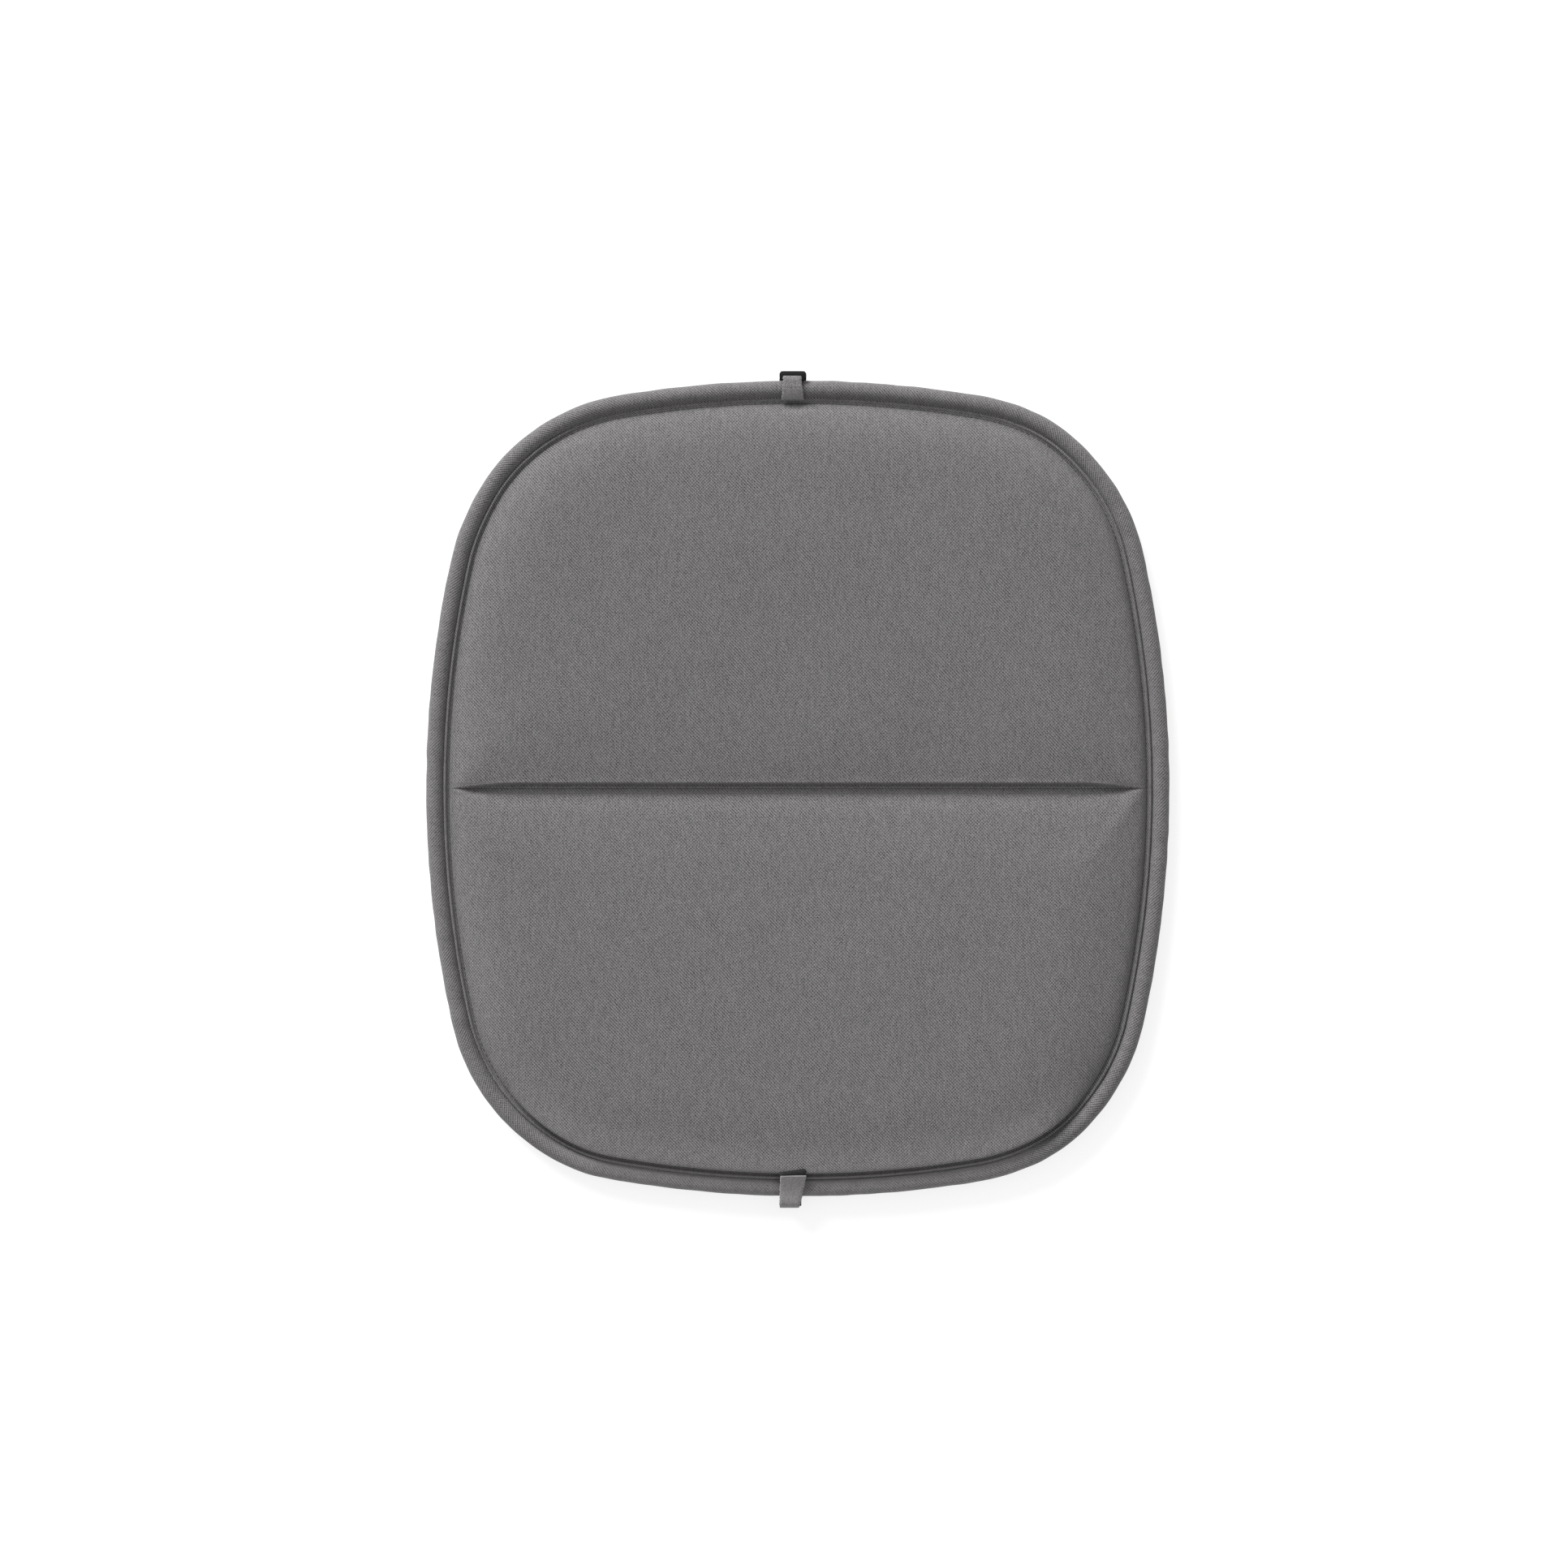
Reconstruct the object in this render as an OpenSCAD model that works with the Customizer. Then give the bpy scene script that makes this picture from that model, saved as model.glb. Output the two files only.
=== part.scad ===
// Chair seat pad: two foam panels in one piped cover, with a sewn channel between them
// and a hook-and-loop strap at the middle of the rear and front edges.
// +X is the sitter's left-right width, +Y points to the rear edge, +Z is up.
// The origin is on the surface that the pad lies on, under its middle.

/* [Outline] */
// Width over the piping
pad_w = 410; // [390:1:430]
// Depth over the piping, rear to front
pad_d = 450; // [430:1:470]
// Radius of the long curve of the rear and front edges
end_r = 610; // [560:5:660]
// Radius of the long curve of the two sides
side_r = 595; // [550:5:640]
// Radius of the four corners
corner_r = 113; // [100:1:125]

/* [Section] */
// Height of the crown over the supporting surface
crown_h = 21; // [20.5:0.5:24]
// Height of the edge seam, the channel seam and the piping's centre
seam_h = 9; // [9:0.1:10]
// Thickness of the cover cloth
cloth_t = 1.0; // [0.8:0.1:1.0]
// Thickness of the wadding over the foam
wadding_t = 3.5; // [3:0.5:4]

/* [Piping] */
// Diameter over the piping's cloth
piping_dia = 9.4; // [8.8:0.1:9.4]
// Thickness of the piping's cloth
piping_cloth_t = 0.9; // [0.6:0.1:1.0]
// Width of the seam flange inside the covers
piping_flange_w = 4.4; // [3.5:0.1:4.4]

/* [Straps] */
// Width of the black hook-and-loop tape
tape_w = 14.8; // [13:0.1:16]
// Thickness of the tape
tape_t = 1.2; // [1:0.1:1.2]
// Width of the cloth tab over the tape
tab_w = 12; // [10:0.5:13]
// Width of the loop patch under the pad
patch_w = 18; // [16:0.5:20]
// How far both straps sit to the left of the middle
strap_left = 2.7; // [0:0.1:4]

/* [Threads] */
// Diameter of a line of stitches
thread_dia = 0.7; // [0.5:0.1:0.7]

/* [Hidden] */

cloth_grey = [0.19, 0.185, 0.187];
foam_cream = [0.86, 0.82, 0.70];
wadding_white = [0.93, 0.93, 0.91];
cord_white = [0.88, 0.87, 0.83];
tape_black = [0.03, 0.03, 0.03];
thread_grey = [0.10, 0.10, 0.10];

// --- Outline: three tangent arcs in each quarter -------------------------------------------
// A point of the outline is named by the direction of its outward normal, in degrees from +X.
half_w = pad_w / 2;
half_d = pad_d / 2;
end_centre = [0, half_d - end_r];
side_centre = [half_w - side_r, 0];

// The corner arc's centre is where its distances to the other two centres leave it tangent to both
centre_gap = norm(side_centre - end_centre);
to_end = end_r - corner_r;
to_side = side_r - corner_r;
along = (to_end * to_end - to_side * to_side + centre_gap * centre_gap) / (2 * centre_gap);
across = sqrt(to_end * to_end - along * along);
line_dir = (side_centre - end_centre) / centre_gap;
corner_centre = end_centre + along * line_dir + across * [line_dir.y, -line_dir.x];

// Normal directions where the side meets the corner, and the corner meets the rear edge
side_stop = atan2((corner_centre - side_centre).y, (corner_centre - side_centre).x);
end_start = atan2((corner_centre - end_centre).y, (corner_centre - end_centre).x);

function arc_centre(turn) = turn < side_stop ? side_centre : turn < end_start ? corner_centre : end_centre;
function arc_radius(turn) = turn < side_stop ? side_r : turn < end_start ? corner_r : end_r;
function quarter_point(turn, inset) =
    arc_centre(turn) + (arc_radius(turn) - inset) * [cos(turn), sin(turn)];
function outline_point(turn, inset) =
    turn <= 90 ? quarter_point(turn, inset)
    : [-quarter_point(180 - turn, inset).x, quarter_point(180 - turn, inset).y];

// Directions from one end of the half outline to the other, closer together round the corners
side_steps = 4;
corner_steps = 10;
end_steps = 8;
function spread(from, to, steps) = [for (step = [0 : steps - 1]) from + (to - from) * step / steps];
function half_turns(first) = concat(
    spread(first, side_stop, side_steps),
    spread(side_stop, end_start, corner_steps),
    spread(end_start, 180 - end_start, end_steps),
    spread(180 - end_start, 180 - side_stop, corner_steps),
    spread(180 - side_stop, 180 - first, side_steps),
    [180 - first]
);

// Rear half of the outline, moved in by inset from the edge and by gap from the channel's line
function half_ring(inset, gap) =
    [for (turn = half_turns(asin(gap / (side_r - inset)))) outline_point(turn, inset)];

// --- Solids built from rings -----------------------------------------------------------------
// A level is [inset from the edge, gap from the channel's line, height]. The levels run from the
// middle of the surface that faces down, out to the edge, and back to the middle of the top.
function ring_faces(rings, count) = [
    for (ring = [0 : rings - 2], at = [0 : count - 1])
        let (next = (at + 1) % count, base = ring * count)
            [base + at, base + count + at, base + count + next, base + next]
];
module half_solid(levels) {
    rings = [for (level = levels) [for (p = half_ring(level[0], level[1])) [p.x, p.y, level[2]]]];
    count = len(rings[0]);
    last = (len(rings) - 1) * count;
    polyhedron(
        points = [for (ring = rings, p = ring) p],
        faces = concat(
            [[for (at = [0 : count - 1]) at]],
            ring_faces(len(rings), count),
            [[for (at = [count - 1 : -1 : 0]) last + at]]
        ),
        convexity = 6
    );
}
function raised(levels, rise) = [for (level = levels) [level[0], level[1], level[2] + rise]];
function pulled_in(levels, inset, drop) =
    [for (level = levels) [level[0] + inset, level[1] + inset, level[2] - drop]];
function reversed(list) = [for (at = [len(list) - 1 : -1 : 0]) list[at]];

// --- Section through the covers ----------------------------------------------------------------
// Half of the space that the piping's flange takes between the two covers
flange_half = 0.4;
cover_gap = 0.05;
cover_edge = piping_dia + 0.2;
lip_low = seam_h + flange_half + cover_gap;
lip_high = lip_low + cloth_t;

// Crown, from the foot of the wall up to the flat middle
crown_levels = [
    [13.5, 2.4, crown_h - 8.4],
    [14.8, 3.8, crown_h - 6.6],
    [19.0, 7.0, crown_h - 4.6],
    [27.0, 14.0, crown_h - 2.3],
    [38.0, 26.0, crown_h - 0.7],
    [50.0, 40.0, crown_h]
];
// Belly, from the edge seam down to the flat underside
belly_levels = [
    [14.0, 6.0, seam_h - 2.5],
    [20.0, 12.0, seam_h - 4.7],
    [28.0, 20.0, seam_h - 6.7],
    [38.0, 31.0, seam_h - 8.2],
    [50.0, 44.0, 0]
];
belly_edge = [cover_edge, 3.4, seam_h - 1.3];

// --- Sweeps round the edge, cut back for the fold ------------------------------------------------
// The front half folds down about the seam line, so a swept end slants back below that line
fold_cut = 61;
fold_gap = 0.2;
function end_gap(height) = fold_gap + max(0, seam_h - height) * tan(fold_cut);

// Carries a closed section of [inset, height] points round the rear half of the outline. The
// section runs down on the pad's outer side.
module half_sweep(section) {
    count = len(section);
    tracks = [for (p = section) [for (q = half_ring(p[0], end_gap(p[1]))) [q.x, q.y, p[1]]]];
    rings = len(tracks[0]);
    last = (rings - 1) * count;
    polyhedron(
        points = [for (ring = [0 : rings - 1], track = tracks) track[ring]],
        faces = concat(
            [[for (at = [0 : count - 1]) at]],
            ring_faces(rings, count),
            [[for (at = [count - 1 : -1 : 0]) last + at]]
        ),
        convexity = 6
    );
}
function round_section(inset, height, radius, sides) =
    [for (side = [0 : sides - 1])
        [inset - radius * cos(360 * side / sides), height - radius * sin(360 * side / sides)]];
module to_front() {
    mirror([0, 1, 0])
        children();
}

// --- Covers and filling ------------------------------------------------------------------------
module top_cover() {
    foot = [[12.9, 1.2, lip_high]];
    inner_foot = [[cover_edge + piping_flange_w - 0.1, 2.2, lip_low]];
    color(cloth_grey)
        half_solid(concat(
            reversed(pulled_in(crown_levels, cloth_t, cloth_t)),
            inner_foot,
            [[cover_edge, 0.6, lip_low], [cover_edge, 0.6, lip_high]],
            foot,
            crown_levels
        ));
}
module bottom_cover() {
    edge_top = [cover_edge, 1.2, seam_h - flange_half - cover_gap];
    color(cloth_grey)
        half_solid(concat(
            reversed(belly_levels),
            [belly_edge, edge_top],
            raised(belly_levels, cloth_t)
        ));
}

fill_gap = 0.15;
wadding_in = cloth_t + fill_gap;
foam_in = wadding_in + wadding_t + fill_gap;
fill_foot = [15.6, 6.0, seam_h];
// The wadding's inner side and the foam begin further in, where the crown is high enough
inner_start = 16;
inner_crown = [for (level = crown_levels) if (level[0] > inner_start) level];
module wadding() {
    foot_in = wadding_t * 0.7; // the wadding thins towards its foot
    color(wadding_white)
        half_solid(concat(
            reversed(pulled_in(inner_crown, foam_in - fill_gap, foam_in - fill_gap)),
            [[fill_foot[0] + foot_in, fill_foot[1] + foot_in, fill_foot[2]], fill_foot],
            pulled_in(crown_levels, wadding_in, wadding_in)
        ));
}
module foam_core() {
    foot_in = 3;
    bottom = [for (level = belly_levels) if (level[0] > inner_start) level];
    color(foam_cream)
        half_solid(concat(
            reversed(raised(bottom, cloth_t + fill_gap)),
            [[fill_foot[0] + foot_in, fill_foot[1] + foot_in, fill_foot[2]]],
            pulled_in(inner_crown, foam_in, foam_in)
        ));
}

// --- Piping and threads -----------------------------------------------------------------------
piping_r = piping_dia / 2;
bead_sides = 16;
// One strip of cloth wrapped round the cord, its two edges laid together as the flange
module piping_cover() {
    flange_in = piping_dia + piping_flange_w;
    slit = 0.04;
    core_r = piping_r - piping_cloth_t;
    outer_turn = asin(flange_half / piping_r);
    inner_turn = asin(slit / core_r);
    outer = [for (side = [0 : bead_sides])
        let (turn = 180 - outer_turn - (360 - 2 * outer_turn) * side / bead_sides)
            [piping_r - piping_r * cos(turn), seam_h + piping_r * sin(turn)]];
    inner = [for (side = [bead_sides : -1 : 0])
        let (turn = 180 - inner_turn - (360 - 2 * inner_turn) * side / bead_sides)
            [piping_r - core_r * cos(turn), seam_h + core_r * sin(turn)]];
    color(cloth_grey)
        half_sweep(concat(
            [[flange_in, seam_h + flange_half]],
            outer,
            [[flange_in, seam_h - flange_half], [flange_in, seam_h - slit]],
            inner,
            [[flange_in, seam_h + slit]]
        ));
}
module piping_cord() {
    cord_gap = 0.15;
    cord_sides = 10;
    color(cord_white)
        half_sweep(round_section(piping_r, seam_h, piping_r - piping_cloth_t - cord_gap, cord_sides));
}
// Needle thread on the top cover's lip and bobbin thread under the bottom cover
thread_inset = 12.2;
thread_gap = 0.1;
thread_sides = 4;
under_seam = 2.1; // depth of the bottom cover's face below the seam at that inset
module edge_thread() {
    thread_r = thread_dia / 2;
    color(thread_grey)
        for (height = [lip_high + thread_r + thread_gap, seam_h - under_seam - thread_r])
            half_sweep(round_section(thread_inset, height, thread_r, thread_sides));
}
module channel_thread() {
    end_gap = 2;
    color(thread_grey)
        translate([0, 0, seam_h])
            rotate([0, 90, 0])
                cylinder(r = thread_dia / 2, h = pad_w - 2 * (thread_inset + end_gap), center = true,
                         $fn = 24);
}

// --- Straps -------------------------------------------------------------------------------------
// Drawn in the plane of the pad's middle, as [distance from the middle, height], for the rear
// edge. The front strap is its mirror image, with a tape that starts on the panel's shoulder.
bead = [half_d - piping_r, seam_h];
function around(radius, angle) = bead + radius * [cos(angle), sin(angle)];
function over_bead(radius, from, to, steps) =
    [for (step = [0 : steps]) around(radius, from + (to - from) * step / steps)];

// Outline of a strip of even thickness along a path
function way(path, at) = let (
        a = path[max(at - 1, 0)],
        b = path[min(at + 1, len(path) - 1)]
    ) (b - a) / norm(b - a);
function beside(path, off) =
    [for (at = [0 : len(path) - 1]) path[at] + off * [-way(path, at).y, way(path, at).x]];
module strip(path, thick, width) {
    translate([-strap_left, 0, 0])
        rotate([90, 0, 90])
            linear_extrude(height = width, center = true)
                polygon(concat(beside(path, thick / 2), reversed(beside(path, -thick / 2))));
}

tape_gap = 0.2; // between the tape and the piping
tape_mid = piping_r + tape_gap + tape_t / 2;
tab_t = 1.0;
tab_gap = 0.06; // between the tab and the tape
tab_rise = (tape_t + tab_t) / 2 + tab_gap;
overhang = 4.6;
bend_r = 3.2;
bend_from = 60;
bead_stop = 75; // where the tape and the tab leave the piping for the outer bend
bend = [half_d + overhang - bend_r, seam_h + 1.6];
function outer_bend(radius, to, steps) =
    [for (step = [0 : steps]) bend + radius * [cos(bend_from + (to - bend_from) * step / steps),
                                               sin(bend_from + (to - bend_from) * step / steps)]];
tape_low = 3.0;
tape_tail = concat(outer_bend(bend_r, 0, 6), [[half_d + overhang, tape_low]]);
shoulder = [
    [half_d - 16.4, crown_h - 4.9],
    [half_d - 14.2, crown_h - 5.9],
    [half_d - 12.7, crown_h - 7.9],
    [half_d - 12.0, seam_h + 3.6],
    [half_d - 10.8, seam_h + 3.4]
];
module tape(start_path, first) {
    color(tape_black)
        strip(concat(start_path, over_bead(tape_mid, first, bead_stop, 7), tape_tail), tape_t, tape_w);
}
module strap_tab(first) {
    color(cloth_grey)
        strip(
            concat(over_bead(tape_mid + tab_rise, first, bead_stop, 6), outer_bend(bend_r + tab_rise, 48, 2)),
            tab_t, tab_w
        );
}
// The hook end of the tape, closed against its patch under the pad
flap_path = [
    [half_d + overhang - 0.2, 1.65],
    [half_d - 3.0, 2.4],
    [half_d - 8.0, 3.7],
    [half_d - 11.0, 4.15],
    [half_d - 14.0, 3.9],
    [half_d - 20.0, 2.2],
    [half_d - 25.8, 1.0]
];
module strap_flap() {
    color(tape_black)
        strip(flap_path, tape_t, tape_w);
}
module loop_patch() {
    patch_t = 0.9;
    patch_gap = 0.15;
    inner_lift = 0.6; // keeps the patch's inner end off the flap's tip
    drop = patch_t / 2 + patch_gap;
    color(tape_black)
        strip(
            [
                [half_d - 14.2, belly_levels[0][2] - drop],
                [half_d - 20.0, belly_levels[1][2] - drop],
                [half_d - 25.6, belly_levels[2][2] - drop + inner_lift]
            ],
            patch_t, patch_w
        );
}
// Two rows of stitches across the tab
module strap_thread(first) {
    bar_r = 0.25;
    bar_gap = 0.05;
    bar_margin = 1;
    last_bar = 78;
    color(thread_grey)
        for (angle = [first, last_bar])
            let (bar = around(tape_mid + tab_rise + tab_t / 2 + bar_r + bar_gap, angle))
                translate([-strap_left, bar.x, bar.y])
                    rotate([0, 90, 0])
                        cylinder(r = bar_r, h = tab_w - 2 * bar_margin, center = true, $fn = 16);
}

module top_cover_rear() { top_cover(); }
module top_cover_front() { to_front() top_cover(); }
module bottom_cover_rear() { bottom_cover(); }
module bottom_cover_front() { to_front() bottom_cover(); }
module wadding_rear() { wadding(); }
module wadding_front() { to_front() wadding(); }
module foam_core_rear() { foam_core(); }
module foam_core_front() { to_front() foam_core(); }
module piping_cover_rear() { piping_cover(); }
module piping_cover_front() { to_front() piping_cover(); }
module piping_cord_rear() { piping_cord(); }
module piping_cord_front() { to_front() piping_cord(); }
module edge_thread_rear() { edge_thread(); }
module edge_thread_front() { to_front() edge_thread(); }
module rear_strap_tape() { tape([], 164); }
module front_strap_tape() { to_front() tape(shoulder, 140); }
module rear_strap_tab() { strap_tab(158); }
module front_strap_tab() { to_front() strap_tab(134); }
module rear_strap_flap() { strap_flap(); }
module front_strap_flap() { to_front() strap_flap(); }
module rear_loop_patch() { loop_patch(); }
module front_loop_patch() { to_front() loop_patch(); }
module rear_strap_thread() { strap_thread(146); }
module front_strap_thread() { to_front() strap_thread(128); }

top_cover_rear();
top_cover_front();
bottom_cover_rear();
bottom_cover_front();
wadding_rear();
wadding_front();
foam_core_rear();
foam_core_front();
piping_cover_rear();
piping_cover_front();
piping_cord_rear();
piping_cord_front();
edge_thread_rear();
edge_thread_front();
channel_thread();
rear_strap_tape();
front_strap_tape();
rear_strap_tab();
front_strap_tab();
rear_strap_flap();
front_strap_flap();
rear_loop_patch();
front_loop_patch();
rear_strap_thread();
front_strap_thread();
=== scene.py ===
import math

import bpy
import numpy as np
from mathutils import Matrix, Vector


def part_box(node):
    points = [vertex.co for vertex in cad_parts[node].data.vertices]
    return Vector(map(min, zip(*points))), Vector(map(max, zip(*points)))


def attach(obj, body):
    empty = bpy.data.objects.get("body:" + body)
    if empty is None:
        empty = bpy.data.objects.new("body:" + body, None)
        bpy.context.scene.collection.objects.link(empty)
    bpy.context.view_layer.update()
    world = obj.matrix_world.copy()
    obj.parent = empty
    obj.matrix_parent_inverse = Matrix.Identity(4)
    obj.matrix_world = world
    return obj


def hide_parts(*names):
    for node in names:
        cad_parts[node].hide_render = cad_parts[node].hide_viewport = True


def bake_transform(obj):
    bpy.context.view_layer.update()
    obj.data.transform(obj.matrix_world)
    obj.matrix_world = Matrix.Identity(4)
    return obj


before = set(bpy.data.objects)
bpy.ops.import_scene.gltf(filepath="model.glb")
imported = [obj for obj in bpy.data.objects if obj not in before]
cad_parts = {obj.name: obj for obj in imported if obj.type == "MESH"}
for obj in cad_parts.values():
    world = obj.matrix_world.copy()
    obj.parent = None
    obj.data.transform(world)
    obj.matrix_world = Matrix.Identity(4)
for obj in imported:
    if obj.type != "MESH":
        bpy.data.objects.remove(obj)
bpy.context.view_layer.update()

MM = 0.001


def box_mm(node):
    """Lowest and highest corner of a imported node, in millimetres."""
    low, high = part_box(node)
    return np.array(low) / MM, np.array(high) / MM


# --- Driving dimensions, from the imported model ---
PIPING_TOP = box_mm("piping_cover_rear")[1]
HALF_W, HALF_D = PIPING_TOP[0], PIPING_TOP[1]
SEAM_Z = sum(corner[2] for corner in box_mm("channel_thread")) / 2
CROWN_Z = box_mm("top_cover_rear")[1][2]
PIPING_R = PIPING_TOP[2] - SEAM_Z
STRAP_W = np.ptp([corner[0] for corner in box_mm("rear_strap_tape")])
STRAP_Y = box_mm("rear_strap_tape")[1][1]
STRAP_X = sum(corner[0] for corner in box_mm("rear_strap_tape")) / 2
PATCH_W = np.ptp([corner[0] for corner in box_mm("rear_loop_patch")])

# Radii of the outline's three arcs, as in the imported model's source
END_R, SIDE_R, CORNER_R = 610.0, 595.0, 113.0

# --- Outline ---
END_C = np.array([0.0, HALF_D - END_R])
SIDE_C = np.array([HALF_W - SIDE_R, 0.0])


def corner_arc_centre():
    """Centre of the corner's arc, tangent to the side's arc and the end's arc."""
    gap = np.linalg.norm(SIDE_C - END_C)
    to_end, to_side = END_R - CORNER_R, SIDE_R - CORNER_R
    along = (to_end**2 - to_side**2 + gap**2) / (2 * gap)
    across = math.sqrt(to_end**2 - along**2)
    line = (SIDE_C - END_C) / gap
    return END_C + along * line + across * np.array([line[1], -line[0]])


CORNER_C = corner_arc_centre()
SIDE_STOP = math.atan2(*(CORNER_C - SIDE_C)[::-1])
END_START = math.atan2(*(CORNER_C - END_C)[::-1])


def hand_of(turn):
    """Small unevenness of a hand-sewn edge, in mm outwards, at the direction turn."""
    bumps = [(1.03, 0.24, 1.1), (-0.95, 0.24, 1.0), (2.70, 0.20, -0.8), (4.55, 0.14, -0.6)]
    away = [(turn - at + math.pi) % (2 * math.pi) - math.pi for at, _, _ in bumps]
    return sum(out * np.exp(-((a / wide) ** 2)) for a, (_, wide, out) in zip(away, bumps))


def outline(turn, inset):
    """x and y of the edge where it faces the direction turn (from +X), moved in by inset."""
    folded = np.abs((np.asarray(turn) + math.pi) % (2 * math.pi) - math.pi)
    quarter = np.where(folded > math.pi / 2, math.pi - folded, folded)
    on_side, on_end = quarter < SIDE_STOP, quarter > END_START
    radius = np.where(on_side, SIDE_R, np.where(on_end, END_R, CORNER_R))
    cx = np.where(on_side, SIDE_C[0], np.where(on_end, END_C[0], CORNER_C[0]))
    cy = np.where(on_side, SIDE_C[1], np.where(on_end, END_C[1], CORNER_C[1]))
    reach = radius - inset + hand_of(np.asarray(turn))
    x = (cx + reach * np.cos(quarter)) * np.where(folded > math.pi / 2, -1, 1)
    y = (cy + reach * np.sin(quarter)) * np.where(np.sin(turn) < 0, -1, 1)
    return x, y


def edge_place(x, y):
    """Inset from the edge, and the edge's outward direction, at points inside the outline."""
    ax, ay = np.abs(x), np.abs(y)
    best = np.full(np.shape(x), np.inf)
    nx, ny = np.zeros_like(best), np.zeros_like(best)
    arcs = [
        (SIDE_C, SIDE_R, -1.0, SIDE_STOP),
        (CORNER_C, CORNER_R, SIDE_STOP, END_START),
        (END_C, END_R, END_START, math.pi),
    ]
    for centre, radius, start, stop in arcs:
        dx, dy = ax - centre[0], ay - centre[1]
        reach, angle = np.hypot(dx, dy), np.arctan2(dy, dx)
        inset = radius - reach
        better = (angle >= start - 1e-6) & (angle <= stop + 1e-6) & (inset < best)
        best = np.where(better, inset, best)
        nx = np.where(better, dx / np.maximum(reach, 1e-9), nx)
        ny = np.where(better, dy / np.maximum(reach, 1e-9), ny)
    nx, ny = nx * np.sign(x), ny * np.sign(y)
    best = best + hand_of(np.arctan2(ny, nx))
    return np.where(np.isfinite(best), best, HALF_W), nx, ny


def turns_by_length(inset, gap, shares):
    """Directions along the rear half's edge, at shares of its length between both ends."""
    first = math.asin(gap / (SIDE_R - inset))
    fine = np.linspace(first, math.pi - first, 2400)
    x, y = outline(fine, inset)
    length = np.concatenate([[0], np.cumsum(np.hypot(np.diff(x), np.diff(y)))])
    return np.interp(np.asarray(shares) * length[-1], length, fine)


# --- Curves and unevenness ---
def smooth_curve(points):
    """A monotone cubic through (place, value) points, as a function of place."""
    x, y = np.array(points, float).T
    step = np.diff(x)
    rise = np.diff(y) / step
    slope = np.concatenate([[rise[0]], np.zeros(len(x) - 2), [rise[-1]]])
    same = rise[:-1] * rise[1:] > 0
    w1, w2 = 2 * step[1:] + step[:-1], step[1:] + 2 * step[:-1]
    mean = (w1 + w2)[same] / ((w1[same] / rise[:-1][same]) + (w2[same] / rise[1:][same]))
    slope[1:-1][same] = mean

    def at(place):
        p = np.clip(place, x[0], x[-1])
        i = np.clip(np.searchsorted(x, p) - 1, 0, len(step) - 1)
        t = (p - x[i]) / step[i]
        return (
            (2 * t**3 - 3 * t**2 + 1) * y[i]
            + (t**3 - 2 * t**2 + t) * step[i] * slope[i]
            + (3 * t**2 - 2 * t**3) * y[i + 1]
            + (t**3 - t**2) * step[i] * slope[i + 1]
        )

    return at


def ripples(x, y, wave, seed):
    """Smooth random waviness about wave mm long, mostly within -1 to 1."""
    rng = np.random.default_rng(seed)
    waves = 28
    total = np.zeros(np.shape(x))
    for _ in range(waves):
        angle = rng.uniform(0, math.pi)
        k = 2 * math.pi / (wave * rng.uniform(0.7, 1.5))
        phase = rng.uniform(0, 2 * math.pi)
        total += np.sin(k * (x * math.cos(angle) + y * math.sin(angle)) + phase)
    return total / math.sqrt(waves)


def shares_dense(length, first, growth, largest):
    """Shares from 0 to 1 along a length: steps start small at both ends and grow to largest."""
    steps, reach, step = [], 0.0, first
    while reach < length / 2:
        steps.append(step)
        reach += step
        step = min(step * growth, largest)
    steps = np.array(steps) * (length / 2) / reach
    half = np.concatenate([[0], np.cumsum(steps)]) / length
    return np.concatenate([half, 1 - half[-2::-1]])


def smoothstep(value, low, high):
    """Eases from 0 at low to 1 at high."""
    t = np.clip((value - low) / (high - low), 0, 1)
    return t * t * (3 - 2 * t)


# --- Mesh helpers ---
def grid_quads(rows, cols, loop_rows=False, loop_cols=False):
    """Quads of a grid of points, and each corner's row and column before wrapping."""
    r, c = np.meshgrid(
        np.arange(rows if loop_rows else rows - 1),
        np.arange(cols if loop_cols else cols - 1),
        indexing="ij",
    )
    r, c = r.ravel(), c.ravel()
    corner_r = np.stack([r, r, r + 1, r + 1], 1)
    corner_c = np.stack([c, c + 1, c + 1, c], 1)
    return (corner_r % rows) * cols + corner_c % cols, corner_r, corner_c


def add_object(name, data):
    """An object with this data, in the scene."""
    made = bpy.data.objects.new(name, data)
    bpy.context.scene.collection.objects.link(made)
    return made


def add_mesh(name, points, faces, flat, material, merge=False):
    """A smooth-shaded piece. points are in mm; flat is the cloth's flat place in mm, for each
    point or for each face corner."""
    mesh = bpy.data.meshes.new(name)
    mesh.from_pydata((np.asarray(points) * MM).tolist(), [], [list(map(int, f)) for f in faces])
    corners = np.zeros(len(mesh.loops), np.int32)
    mesh.loops.foreach_get("vertex_index", corners)
    flat = np.asarray(flat, float)
    if len(flat) == len(points):
        flat = flat[corners]
    uv = mesh.uv_layers.new(name="cloth")
    uv.data.foreach_set("uv", flat.astype(np.float32).ravel())
    mesh.polygons.foreach_set("use_smooth", np.ones(len(mesh.polygons), bool))
    mesh.materials.append(material)
    piece = add_object(name, mesh)
    if merge:
        weld = piece.modifiers.new("weld", "WELD")
        weld.merge_threshold = 0.00001
        keep_modifiers(piece)
    piece.data.validate()
    return piece


def keep_modifiers(piece):
    """Applies the piece's modifiers to its mesh."""
    graph = bpy.context.evaluated_depsgraph_get()
    made = bpy.data.meshes.new_from_object(piece.evaluated_get(graph), depsgraph=graph)
    piece.modifiers.clear()
    old, piece.data = piece.data, made
    made.name = piece.name
    bpy.data.meshes.remove(old)
    return piece


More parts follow.
